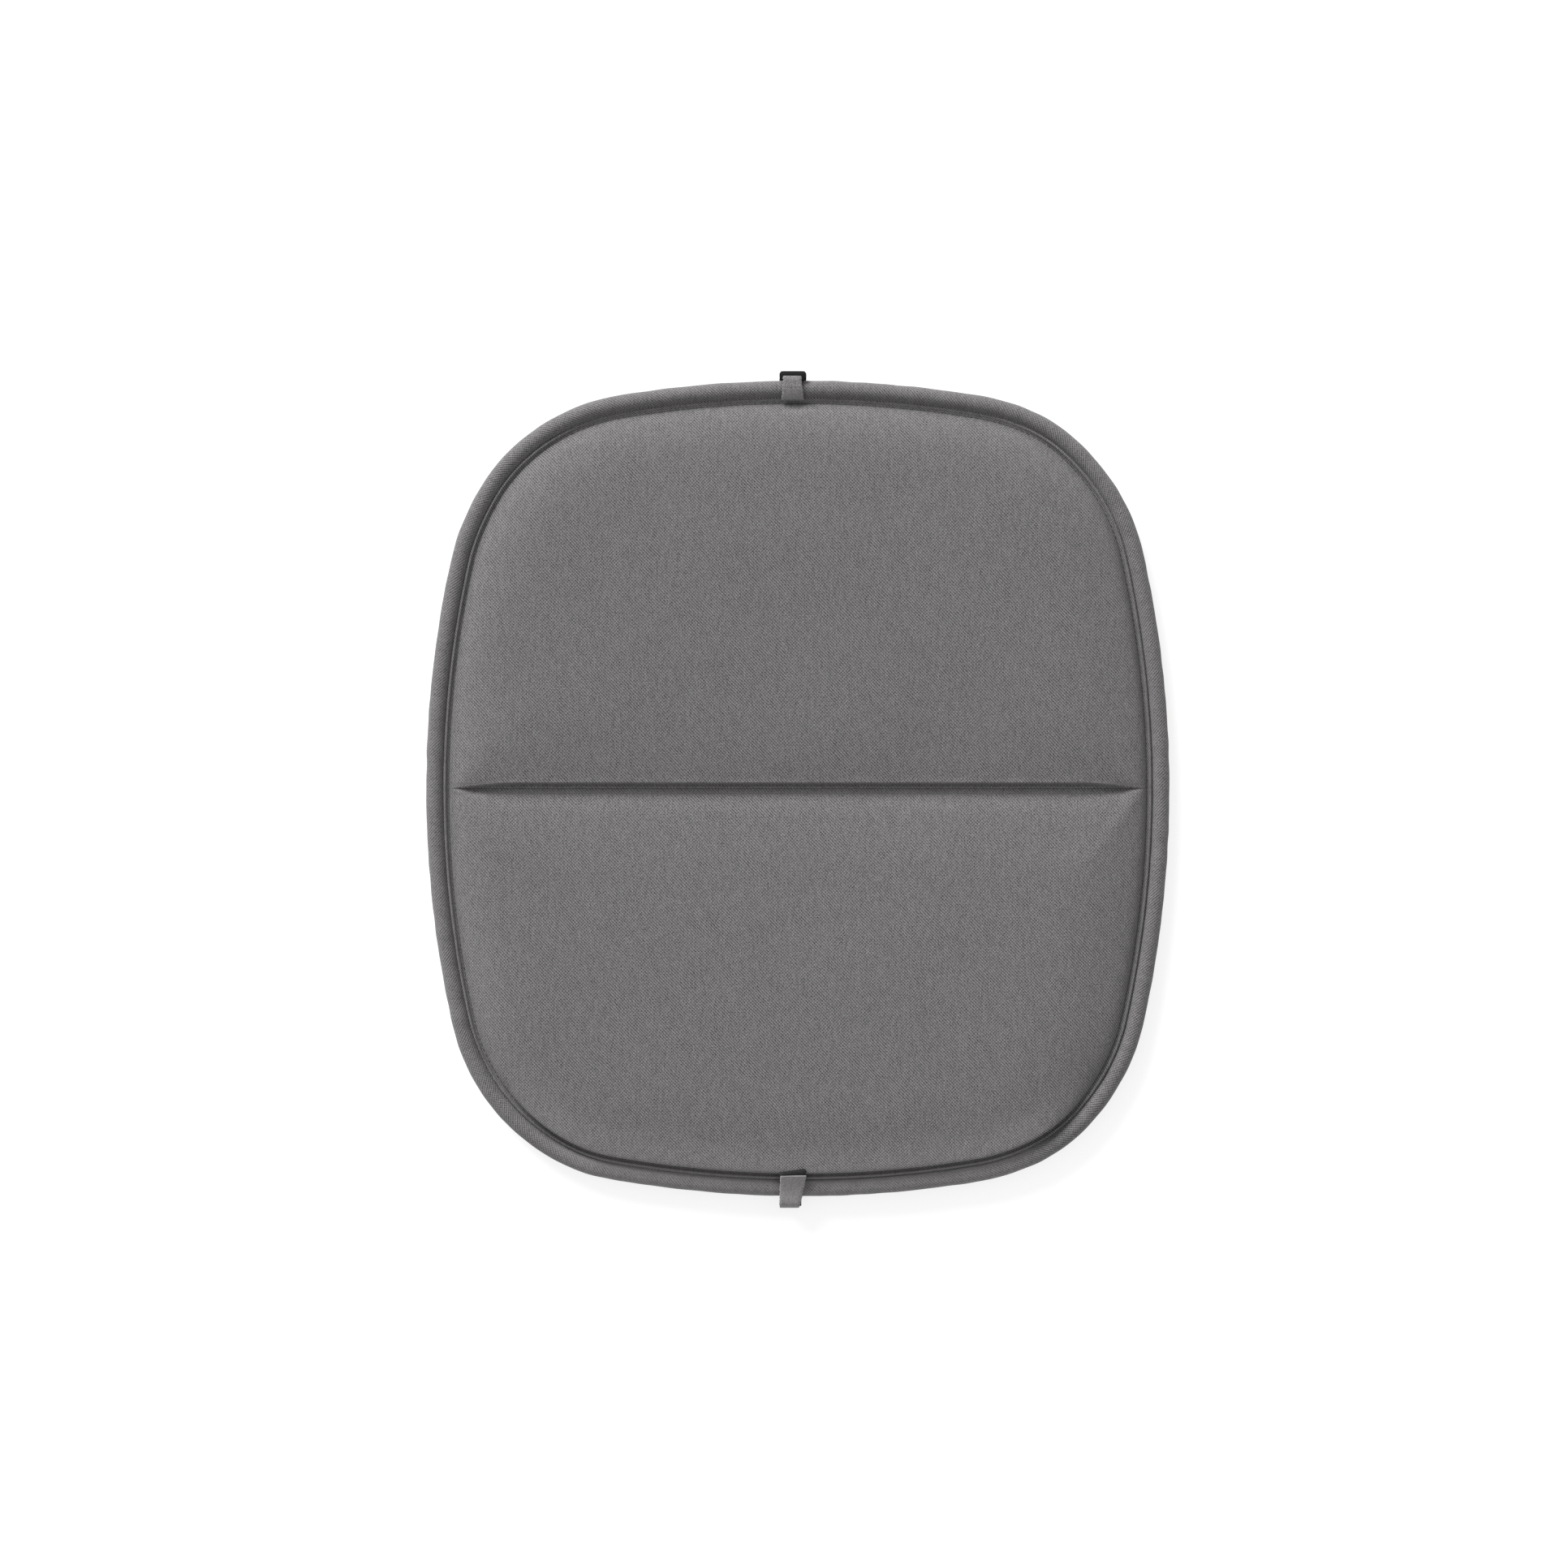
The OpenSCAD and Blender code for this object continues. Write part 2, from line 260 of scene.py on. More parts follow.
def thicken(piece, thickness):
    """Gives an open sheet its cloth's thickness, towards its inner side."""
    solid = piece.modifiers.new("cloth", "SOLIDIFY")
    solid.thickness = thickness * MM
    solid.offset = -1
    solid.use_rim = True
    return keep_modifiers(piece)


def place_of(piece):
    """Places of the piece's points, in mm."""
    return np.array([v.co for v in piece.data.vertices]) / MM


def keep_painted_light(piece, light_paint):
    """Stores painted light and shade at each point, for its material: paler above 0, darker below
    0.
    """
    layer = piece.data.attributes.new("painted_light_and_shade", "FLOAT", "POINT")
    layer.data.foreach_set("value", light_paint.astype(np.float32))


# --- Materials ---
LAYER_GAP = 7.31  # how far apart the slices of noise lie that two seeds take


class Shader:
    """A node material, with short calls for its nodes."""

    def __init__(self, name, roughness, **fixed):
        self.material = bpy.data.materials.new(name)
        self.material.use_nodes = True
        self.tree = self.material.node_tree
        self.surface = self.tree.nodes["Principled BSDF"]
        self.surface.inputs["Roughness"].default_value = roughness
        for socket, value in fixed.items():
            self.surface.inputs[socket.replace("_", " ")].default_value = value

    def node(self, kind, inputs, output=0, **settings):
        made = self.tree.nodes.new(kind)
        for key, value in settings.items():
            setattr(made, key, value)
        for socket, value in inputs.items():
            if isinstance(value, bpy.types.NodeSocket):
                self.tree.links.new(value, made.inputs[socket])
            else:
                made.inputs[socket].default_value = value
        return made.outputs[output]

    def math(self, operation, a, b=0.0, c=0.0):
        return self.node("ShaderNodeMath", {0: a, 1: b, 2: c}, operation=operation)

    def flat_place(self):
        """The cloth's flat place in mm, as two sockets: across the cloth and along it."""
        place = self.node("ShaderNodeUVMap", {}, uv_map="cloth")
        split = self.node("ShaderNodeSeparateXYZ", {0: place})
        return split, split.node.outputs[1]

    def noise(self, across, along, width, length, seed, detail=1.0):
        """Random grain, width by length mm, from 0 to 1."""
        u, v = self.math("DIVIDE", across, width), self.math("DIVIDE", along, length)
        vector = self.node("ShaderNodeCombineXYZ", {0: u, 1: v, 2: seed * LAYER_GAP})
        return self.node(
            "ShaderNodeTexNoise",
            {"Vector": vector, "Scale": 1.0, "Detail": detail, "Roughness": 0.6},
        )

    def flecks(self, across, along, width, length, seed, detail=1.0):
        """The same grain, about 0."""
        return self.math("SUBTRACT", self.noise(across, along, width, length, seed, detail), 0.5)

    def grey(self, value, tint):
        """A near-neutral colour of this brightness."""
        parts = {i: self.math("MULTIPLY", value, tint[i]) for i in range(3)}
        return self.node("ShaderNodeCombineColor", parts)

    def finish(self, colour, height, depth):
        """Puts colour and a bump of this depth in mm on the surface."""
        sockets = {"Strength": 1.0, "Distance": depth * MM, "Height": height}
        bump = self.node("ShaderNodeBump", sockets)
        self.tree.links.new(colour, self.surface.inputs["Base Color"])
        self.tree.links.new(bump, self.surface.inputs["Normal"])
        return self.material


NEUTRAL = (1.02, 0.981, 1.0)
PAINTED_LIGHT = 0.06  # how much paler or darker each step of painted light or shade makes the cloth
WAVER = 0.8  # how much the weave's two diagonals trade places over the cloth
DARKEST = 0.15  # share of the mean that the darkest gap keeps
WARP_FLECK, WEFT_FLECK, SPECK, CLOUD = 0.66, 0.28, 1.5, 0.085  # strengths of the flecks


def woven_cloth(name, mean, contrast, pitch, lean, melange, depth=0.16, fuzz=0.12):
    """Plain-woven melange cloth. mean is its reflectance, contrast the share by which the gaps
    between yarns darken it, pitch a yarn's width across and along, lean the share of the
    weave's second diagonal, melange the strength of the flecks."""
    s = Shader(name, 0.95, Sheen_Weight=fuzz, Sheen_Roughness=0.55, Specular_IOR_Level=0.25)
    u, v = s.flat_place()
    wander = s.math("MULTIPLY", s.flecks(u, v, 14.0, 14.0, 1), 0.5)
    a = s.math("MULTIPLY", s.math("ADD", u, wander), math.pi / pitch[0])
    b = s.math("MULTIPLY", s.math("ADD", v, wander), math.pi / pitch[1])
    down = s.math("COSINE", s.math("SUBTRACT", a, b))
    up = s.math("COSINE", s.math("ADD", a, b))
    share = s.math("MULTIPLY_ADD", s.flecks(u, v, 16.0, 16.0, 11), WAVER, lean)
    weave = s.math("SUBTRACT", down, s.math("MULTIPLY", share, s.math("ADD", down, up)))

    fleck = s.math("MULTIPLY", s.flecks(u, v, 1.0, 5.0, 2, 2.0), WARP_FLECK)
    fleck = s.math("MULTIPLY_ADD", s.flecks(u, v, 3.4, 1.0, 3, 2.0), WEFT_FLECK, fleck)
    fleck = s.math("MULTIPLY_ADD", s.flecks(u, v, 0.8, 0.8, 10), SPECK, fleck)

    # painted light and shade, stored on the pieces, makes the cloth paler or darker
    light_paint = s.node("ShaderNodeAttribute", {}, output=2, attribute_name="painted_light_and_shade")
    shade = s.math("MULTIPLY_ADD", weave, contrast, 1.0)
    shade = s.math("MULTIPLY_ADD", fleck, melange, shade)
    shade = s.math("MULTIPLY_ADD", s.flecks(u, v, 9.0, 16.0, 4), CLOUD, shade)
    shade = s.math("MULTIPLY_ADD", light_paint, PAINTED_LIGHT, shade)
    value = s.math("MULTIPLY", s.math("MAXIMUM", shade, DARKEST), mean)
    fibre = s.noise(u, v, 0.25, 0.25, 5)
    height = s.math("MULTIPLY_ADD", fibre, 0.25, s.math("MULTIPLY", weave, 0.5))
    return s.finish(s.grey(value, NEUTRAL), height, depth)


def webbing(name, value, rib):
    """Black nylon tape: ribs across the tape, and fine threads along it."""
    s = Shader(name, 0.8, Specular_IOR_Level=0.12)
    u, v = s.flat_place()
    ribs = s.math("COSINE", s.math("MULTIPLY", v, 2 * math.pi / rib))
    threads = s.math("COSINE", s.math("MULTIPLY", u, 2 * math.pi / (rib * 0.8)))
    grain = s.noise(u, v, 0.5, 1.2, 6, 2.0)
    height = s.math("MULTIPLY_ADD", threads, 0.25, s.math("MULTIPLY", ribs, 0.5))
    shade = s.math("MULTIPLY_ADD", grain, 0.8, s.math("MULTIPLY_ADD", height, 0.35, 0.6))
    return s.finish(s.grey(s.math("MULTIPLY", shade, value), (1.0, 1.0, 1.03)), height, 0.2)


def napped(name, value, tint, grain=0.35, depth=0.5, contrast=0.7, sheen=0.2):
    """Loop pile, wadding or foam: a random nap of this grain, in mm."""
    s = Shader(name, 1.0, Sheen_Weight=sheen, Specular_IOR_Level=0.15)
    u, v = s.flat_place()
    fine = s.noise(u, v, grain, grain, 7, 3.0)
    coarse = s.flecks(u, v, grain * 9, grain * 12, 8, 2.0)
    shade = s.math("MULTIPLY_ADD", fine, contrast, 1.0 - contrast / 2)
    shade = s.math("MULTIPLY_ADD", coarse, contrast / 2, shade)
    return s.finish(s.grey(s.math("MULTIPLY", shade, value), tint), fine, depth)


def twisted(name, value, tint, lay=0.45, depth=0.08, roughness=0.6):
    """Sewing thread or cord, whose plies wind round it every lay mm."""
    s = Shader(name, roughness)
    u, v = s.flat_place()
    plies = s.math("SINE", s.math("MULTIPLY", s.math("ADD", u, v), 2 * math.pi / lay))
    grain = s.noise(u, v, 0.3, 0.6, 9, 2.0)
    shade = s.math("MULTIPLY_ADD", plies, 0.2, s.math("MULTIPLY_ADD", grain, 0.5, 0.75))
    return s.finish(s.grey(s.math("MULTIPLY", shade, value), tint), plies, depth)


YARN = (0.87, 0.90)
cover_cloth = woven_cloth("cover_cloth", 0.1185, 0.54, YARN, 0.71, 1.15)
piping_cloth = woven_cloth("piping_cloth", 0.119, 0.5, YARN, 0.3, 1.0)
tab_cloth = woven_cloth("tab_cloth", 0.185, 0.35, (0.55, 0.55), 0.5, 0.9, depth=0.12, fuzz=0.3)
tape_weave = webbing("tape_weave", 0.0075, 0.7)
worn_tape = webbing("worn_tape", 0.032, 0.7)
loop_pile = napped("loop_pile", 0.012, (1, 1, 1.03), sheen=0.01)
wadding_fibre = napped("wadding_fibre", 0.8, (1.0, 1.0, 0.98), 0.8, 0.9, 0.25)
foam_cells = napped("foam_cells", 0.62, (1.06, 1.0, 0.80), 0.6, 0.3, 0.3)
cord_cotton = twisted("cord_cotton", 0.62, (1.0, 0.98, 0.92), 5.0, 0.5, 0.9)
grey_thread = twisted("grey_thread", 0.075, (1, 1, 1))
tab_thread = twisted("tab_thread", 0.185, (1, 1, 1))

# --- Section through the covers ---
COVER_EDGE = 2 * PIPING_R + 0.05
GROOVE = 12.7  # inset of the stitched groove inside the ridge
GROOVE_Z = SEAM_Z + 1.35
FLAT_INSET = 52.0  # from here inwards the crown is flat

# Height above the seams of the cover's narrow ridge beside the piping
ridge_by_inset = smooth_curve([
    (COVER_EDGE - 0.1, 0.3), (9.6, 1.5), (10.0, 2.35), (10.4, 2.55), (10.8, 2.5), (11.2, 2.05),
    (11.6, 1.4), (12.1, 1.2), (GROOVE, GROOVE_Z - SEAM_Z),
])
# Share of the crown's height above the groove, by inset from the edge
crown_by_inset = smooth_curve([
    (GROOVE, 0.0), (13.0, 0.05), (13.4, 0.115), (13.8, 0.17), (14.3, 0.23), (15.0, 0.30),
    (16.0, 0.376), (17.5, 0.457), (19.0, 0.52), (21.0, 0.588), (23.0, 0.644), (26.0, 0.719),
    (29.0, 0.786), (33.0, 0.858), (38.0, 0.925), (44.0, 0.976), (FLAT_INSET, 1.0),
    (FLAT_INSET + 1, 1.0),
])
# The front end is fuller: its crown stays high almost to the groove
front_by_inset = smooth_curve([
    (GROOVE, 0.0), (12.9, 0.38), (13.1, 0.62), (13.4, 0.74), (13.8, 0.785), (14.3, 0.80),
    (16.0, 0.812), (19.0, 0.818), (23.0, 0.824), (26.0, 0.832), (29.0, 0.85), (33.0, 0.885),
    (38.0, 0.935), (44.0, 0.975), (FLAT_INSET, 1.0), (FLAT_INSET + 1, 1.0),
])
# The same by distance from the channel's line: the rear side ends in a sharp lip, the front side
# in a low shoulder
CHANNEL_FLAT = 46.0
channel_rear = smooth_curve([
    (0, 0.0), (0.02, 0.2), (0.05, 0.31), (0.5, 0.322), (1.2, 0.332), (2.0, 0.345), (2.3, 0.38),
    (2.55, 0.47), (2.75, 0.6), (2.95, 0.72), (3.2, 0.776), (5.5, 0.791), (8.0, 0.818),
    (12.0, 0.861), (18.0, 0.913), (25.0, 0.956), (33.0, 0.984), (40.0, 0.998),
    (CHANNEL_FLAT, 1.0), (CHANNEL_FLAT + 1, 1.0),
])
channel_front = smooth_curve([
    (0, 0.0), (0.02, 0.2), (0.05, 0.31), (0.3, 0.322), (1.0, 0.332), (2.4, 0.365), (3.8, 0.402),
    (5.1, 0.45), (6.5, 0.503), (8.0, 0.555), (10.5, 0.63), (13.0, 0.685), (18.0, 0.762),
    (25.0, 0.84), (33.0, 0.917), (40.0, 0.976), (CHANNEL_FLAT, 1.0), (CHANNEL_FLAT + 1, 1.0),
])
CHANNEL_TAPER = 36.0  # length over which the channel narrows to its ends
CHANNEL_TIP = 0.12  # share of the channel's width at its ends
TAB_DENT = 6.5  # half the width of the dent that the rear tab presses into the crown
CLOTH_GAP = 0.35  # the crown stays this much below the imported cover's top
FRONT_LIFT = 2.0  # how much higher the groove and the ridge lie at the front end
REAR_DROP = 0.5  # and how much lower the groove lies at the rear end


def front_end(ny):
    """1 at the front end, 0 elsewhere, by the edge's outward direction."""
    return smoothstep(-ny, 0.80, 0.97)


def groove_height(ny):
    """Height of the stitched groove."""
    return GROOVE_Z + FRONT_LIFT * front_end(ny) - REAR_DROP * front_end(-ny)


def ridge_at(inset, ny):
    """Height of the ridge: it lies lower at the rear end and higher at the front end."""
    rise = SEAM_Z + ridge_by_inset(inset) - GROOVE_Z
    bump = np.maximum(rise, 0) * (1.12 - 0.72 * front_end(-ny))
    return groove_height(ny) + np.where(rise > 0, bump, rise * (1 - 0.5 * front_end(-ny)))


def crown_height(x, y):
    """Height of the top cover over the pad."""
    inset, _, ny = edge_place(x, y)
    full = smoothstep(-ny, 0.55, 0.90)
    edge = crown_by_inset(inset) * (1 - full) + front_by_inset(inset) * full
    # The rear tab draws the crown's edge down beside it
    dent = np.exp(-(((x - STRAP_X) / TAB_DENT) ** 4)) * (1 - smoothstep(inset, 13.5, 19.0))
    edge = edge * np.where(y > 0, 1 - 0.5 * dent, 1)
    near_end = smoothstep(inset, GROOVE + 1.5, GROOVE + 1.5 + CHANNEL_TAPER)
    reach = np.abs(y) / (CHANNEL_TIP + (1 - CHANNEL_TIP) * near_end)
    across = np.where(y >= 0, channel_rear(reach), channel_front(reach))
    across = 1 - (1 - across) * smoothstep(inset, GROOVE + 0.5, GROOVE + 14.0)
    puckers = 0.10 * ripples(x * 0.4, y, 7.0, 11) * np.exp(-((reach / 14.0) ** 2))
    puckers = puckers + 0.10 * ripples(x, y, 9.0, 12) * np.exp(-(((inset - 15) / 9.0) ** 2))
    sag = 0.22 * ripples(x, y, 95.0, 13)
    low = groove_height(ny)
    panel = low + (CROWN_Z - CLOTH_GAP - low + sag + puckers) * edge * across
    return np.where(inset < GROOVE, ridge_at(inset, ny), panel)


def spare_cloth(profile, start, stop, rise):
    """Places along a profile and the cloth's length up to each, so that the weave keeps its
    scale on the slopes."""
    place = np.linspace(start, stop, 400)
    height = profile(place) * rise
    length = np.concatenate([[0], np.cumsum(np.hypot(np.diff(place), np.diff(height)))])
    return place, length


EDGE_PLACE, EDGE_LENGTH = spare_cloth(crown_by_inset, GROOVE, FLAT_INSET, CROWN_Z - GROOVE_Z)
EDGE_SPARE = EDGE_LENGTH[-1] - EDGE_LENGTH - (FLAT_INSET - EDGE_PLACE)
CH_PLACE, CH_LENGTH = spare_cloth(channel_rear, 0, CHANNEL_FLAT, CROWN_Z - GROOVE_Z)


def cover_flat(x, y):
    """Place in the flat cloth of a point of the top cover."""
    inset, nx, ny = edge_place(x, y)
    out = np.interp(inset, EDGE_PLACE, EDGE_SPARE) + 0.6 * np.maximum(GROOVE - inset, 0)
    along = np.interp(np.abs(y), CH_PLACE, CH_LENGTH - CH_PLACE)
    return np.stack([x + nx * out, y + ny * out + np.sign(y) * along], -1)


# --- Panels: rings that run beside the edge and beside the channel ---
def half_sheet(edge_insets, rings, core_rings, side, first=0.45, largest=2.6):
    """x, y and faces of one half of a cover. Outer rows follow the edge only; each of rings
    is (inset, gap) and runs beside the channel as well; core rows close the middle."""
    arc = shares_dense(700.0, first, 1.16, largest)
    line = shares_dense(380.0, first, 1.16, largest)[1:-1]
    points, faces = [], []
    for inset in edge_insets:
        points += list(zip(*outline(turns_by_length(inset, 0, arc), inset)))
    # The first ring's edge part is the last row of this outer grid
    quads, _, _ = grid_quads(len(edge_insets) + 1, len(arc))
    faces += quads.tolist()
    start = len(points)
    for inset, gap in rings:
        x, y = outline(turns_by_length(inset, gap, arc), inset)
        points += list(zip(x, y))
        points += [(x[-1] + (x[0] - x[-1]) * share, gap) for share in line]
    around = len(arc) + len(line)
    ring_points = np.array(points[-around:])
    middle = ring_points.mean(0)
    for share in core_rings:
        points += (middle + (ring_points - middle) * share).tolist()
    quads, _, _ = grid_quads(len(rings) + len(core_rings), around, loop_cols=True)
    faces += (quads + start).tolist()
    points.append(tuple(middle))
    last = len(points) - 1 - around
    faces += [[last + at, last + (at + 1) % around, last + around] for at in range(around)]
    points = np.array(points)
    if side < 0:
        points = points * [1, -1]
        faces = [face[::-1] for face in faces]
    return points, faces


def two_halves(edge_insets, rings, core_rings, height, flat, name, material, up=True):
    """A cover in one piece: both halves, joined along the channel's line."""
    all_points, all_faces, offset = [], [], 0
    for side in (1, -1):
        points, faces = half_sheet(edge_insets, rings, core_rings, side)
        if not up:
            faces = [face[::-1] for face in faces]
        all_points.append(points)
        all_faces += [[at + offset for at in face] for face in faces]
        offset += len(points)
    xy = np.concatenate(all_points)
    xyz = np.column_stack([xy, height(xy[:, 0], xy[:, 1])])
    return add_mesh(name, xyz, all_faces, flat(xy[:, 0], xy[:, 1]), material, merge=True)


ROW_STEP = 0.28
ROW_COUNT = int((GROOVE - COVER_EDGE) / ROW_STEP) + 1
RIDGE_ROWS = [COVER_EDGE + ROW_STEP * row for row in range(ROW_COUNT)]
RINGS = [
    (GROOVE, 0.0), (12.78, 0.05), (12.88, 0.12), (13.0, 0.3), (13.15, 0.6), (13.3, 1.0),
    (13.5, 1.5), (13.7, 2.0), (13.95, 2.35), (14.2, 2.65), (14.5, 2.95), (14.8, 3.25),
    (15.2, 3.55), (15.7, 3.95), (16.4, 4.5), (17.3, 5.2), (18.5, 6.1), (20.0, 7.2), (22.0, 8.7),
    (24.5, 10.7), (27.5, 13.2), (31.0, 16.5), (35.0, 20.5), (40.0, 26.0), (46.0, 33.0),
    (52.0, 40.0), (57.0, 46.5), (62.0, 52.0),
]
CORE = [0.93 - 0.07 * ring for ring in range(12)] + [0.08]
FILL_CORE = [0.8, 0.6, 0.4, 0.2]


def filling(name, side, material, top, bottom, rings):
    """A closed solid of one half: top and bottom give its heights over its (inset, gap) rings."""
    points, faces = half_sheet([], rings, FILL_CORE, side, first=2.0, largest=6.0)
    count = len(points)
    around = (count - 1) // (len(rings) + len(FILL_CORE))
    x, y = points[:, 0], points[:, 1]
    upper = np.column_stack([points, top(x, y)])
    lower = np.column_stack([points, bottom(x, y)])
    faces += [[at + count for at in face[::-1]] for face in faces]
    wall = [[at, at + count, (at + 1) % around + count, (at + 1) % around] for at in range(around)]
    faces += wall if side > 0 else [face[::-1] for face in wall]
    flat = np.concatenate([points, points])
    return add_mesh(name, np.concatenate([upper, lower]), faces, flat, material)


# --- Cloth simulation: how far the filling's push lifts the cover between its seams ---
PUSH = 4.0  # pressure under the cloth
PUSH_FRAMES = 20
LIFT_MOST = 5.0  # most that a point may move, in mm
LIFT_KEPT = 0.3  # share of the lift that the firm foam leaves
VOXEL = 5.0  # size of the simulated form's mesh, in mm
HELD_EDGE, HELD_GAP = 17.5, 6.0  # the cover is held up to these distances from edge and channel
FREE_EDGE, FREE_GAP = 30.0, 20.0  # and from these on it lifts freely
FORM_FLOOR = 2.0
FORM_RINGS = [
    (13.4, 1.0), (14.0, 2.0), (15.0, 3.4), (17.0, 5.0), (20.0, 8.0), (25.0, 12.0), (32.0, 19.0),
    (42.0, 30.0), (55.0, 44.0),
]


def simulated_lift(side):
    """Place and lift, in mm, of points over one half's top, from a remeshed cloth form that is
    held along its seams and blown up a little."""
    form = filling(
        "form", side, cover_cloth, crown_height, lambda x, y: 0 * x + FORM_FLOOR, FORM_RINGS
    )
    remesh = form.modifiers.new("remesh", "REMESH")
    remesh.mode = "VOXEL"
    remesh.voxel_size = VOXEL * MM
    keep_modifiers(form)
    rest = place_of(form)
    inset, _, _ = edge_place(rest[:, 0], rest[:, 1])
    held = (inset < HELD_EDGE) | (np.abs(rest[:, 1]) < HELD_GAP) | (rest[:, 2] < SEAM_Z)
    seams = form.vertex_groups.new(name="seams")
    seams.add(np.flatnonzero(held).tolist(), 1.0, "REPLACE")
    cloth = form.modifiers.new("cloth", "CLOTH")
    cloth.settings.quality = 5
    cloth.settings.mass = 0.3
    cloth.settings.use_pressure = True
    cloth.settings.uniform_pressure_force = PUSH
    cloth.settings.vertex_group_mass = "seams"
    cloth.settings.effector_weights.gravity = 0
    cloth.point_cache.frame_start, cloth.point_cache.frame_end = 1, PUSH_FRAMES
    scene = bpy.context.scene
    for frame_number in range(1, PUSH_FRAMES + 1):
        scene.frame_set(frame_number)
    moved = form.evaluated_get(bpy.context.evaluated_depsgraph_get()).data
    now = np.array([v.co for v in moved.vertices]) / MM
    form.modifiers.clear()
    bpy.data.objects.remove(form)
    scene.frame_set(1)
    top = rest[:, 2] > SEAM_Z
    lift = np.clip(now[top, 2] - rest[top, 2], 0, LIFT_MOST)
    return rest[top, :2], lift


def cloth_lift():
    """Lift of the cover in mm as a function of place, on a grid that spans the pad."""
    step = VOXEL
    gx = np.arange(-HALF_W, HALF_W + step, step)
    gy = np.arange(-HALF_D, HALF_D + step, step)
    total, weight = np.zeros((len(gy), len(gx))), np.full((len(gy), len(gx)), 1e-6)
    for side in (1, -1):
        place, lift = simulated_lift(side)
        for dy in range(-1, 3):
            for dx in range(-1, 3):
                col = np.floor((place[:, 0] - gx[0]) / step).astype(int) + dx
                row = np.floor((place[:, 1] - gy[0]) / step).astype(int) + dy
                ok = (col >= 0) & (col < len(gx)) & (row >= 0) & (row < len(gy))
                far = np.hypot(place[ok, 0] - gx[col[ok]], place[ok, 1] - gy[row[ok]])
                near = np.exp(-((far / step) ** 2))
                np.add.at(total, (row[ok], col[ok]), near * lift[ok])
                np.add.at(weight, (row[ok], col[ok]), near)
    grid = total / weight * LIFT_KEPT

    def at(x, y):
        c = np.clip((x - gx[0]) / step, 0, len(gx) - 1.001)
        r = np.clip((y - gy[0]) / step, 0, len(gy) - 1.001)
        ci, ri = c.astype(int), r.astype(int)
        c, r = c - ci, r - ri
        c, r = c * c * (3 - 2 * c), r * r * (3 - 2 * r)
        low = grid[ri, ci] * (1 - c) + grid[ri, ci + 1] * c
        high = grid[ri + 1, ci] * (1 - c) + grid[ri + 1, ci + 1] * c
        inset, _, _ = edge_place(x, y)
        off_edge = smoothstep(inset, HELD_EDGE - 0.5, FREE_EDGE)
        off_channel = smoothstep(np.abs(y), HELD_GAP, FREE_GAP)
        return (low * (1 - r) + high * r) * off_edge * off_channel

    return at


lift_of_cloth = cloth_lift()


def cover_height(x, y):
    """Height of the finished top cover."""
    return crown_height(x, y) + lift_of_cloth(x, y)


top_cover = two_halves(RIDGE_ROWS, RINGS, CORE, cover_height, cover_flat, "top_cover", cover_cloth)

# --- Painted light and shade on the top cover ---
CREASE_SHADE = 3.4  # painted shade on the channel's rear wall, under the rear lip
CHANNEL_FLOOR_LIGHT = 3.0  # painted light on the channel's floor
FOLD_SHADE = 4.0  # painted shade in the fold beside the groove at the rear left
FRONT_RIDGE_LIGHT = 5.0  # painted light beside the groove along the front edge, which lies in the crown's shade


def paint_light_and_shade(piece):
    """Paints light, as paler cloth, on the shoulders, the channel's floor and the front
    ridge, and paints shade, as darker cloth, in the folds beside the seams."""
    place = place_of(piece)
    y = place[:, 1]
    inset, nx, ny = edge_place(place[:, 0], y)
    # Painted highlight: paler cloth on the sloping shoulders inside the groove
    shoulder = smoothstep(inset, 13.2, 15.5) * (1 - smoothstep(inset, 20.0, 36.0))
    # Painted shade on the channel's rear wall, and painted light on its floor
    folded = CREASE_SHADE * smoothstep(y, 0.9, 1.4) * (1 - smoothstep(y, 2.7, 3.1))
    lit_floor = CHANNEL_FLOOR_LIGHT * smoothstep(y, -3.2, -1.6) * (1 - smoothstep(y, 0.7, 1.1))
    channel = (lit_floor - folded) * smoothstep(inset, 30.0, 55.0)
    # Painted shade in the fold beside the groove, on the sides that face the key light
    rear_left = smoothstep(0.87 * ny - 0.5 * nx, 0.0, 0.5)
    in_fold = smoothstep(inset, 11.6, 12.8) * (1 - smoothstep(inset, 13.0, 18.0))
    # Painted light on the front ridge, which lies in the crown's shade
    front = FRONT_RIDGE_LIGHT * front_end(ny) * (1 - smoothstep(inset, 13.2, 14.5))
    keep_painted_light(piece, shoulder + channel - FOLD_SHADE * rear_left * in_fold + front)


paint_light_and_shade(top_cover)

# --- Underside ---
belly_by_inset = smooth_curve([
    (COVER_EDGE, 0.02), (11.6, 0.06), (12.3, 0.02), (13.0, 0.10), (14.2, 0.24), (20.0, 0.50),
    (28.0, 0.745), (38.0, 0.92), (FLAT_INSET, 1.0), (FLAT_INSET + 1, 1.0),
])
BELLY_FLAT = 44.0
belly_by_gap = smooth_curve([
    (0, 0.0), (0.8, 0.05), (2.0, 0.11), (6.0, 0.27), (12.0, 0.50), (20.0, 0.74), (31.0, 0.91),
    (BELLY_FLAT, 1.0), (BELLY_FLAT + 1, 1.0),
])
BELLY_EDGE_Z = SEAM_Z - 0.5


def belly_height(x, y):
    """Height of the bottom cover."""
    inset, _, _ = edge_place(x, y)
    deep = belly_by_inset(inset) * np.where(inset < GROOVE, 1, belly_by_gap(np.abs(y)))
    puckers = 0.08 * ripples(x, y, 10.0, 21) * (1 - deep) * smoothstep(inset, GROOVE, 18)
    return BELLY_EDGE_Z * (1 - deep) + puckers


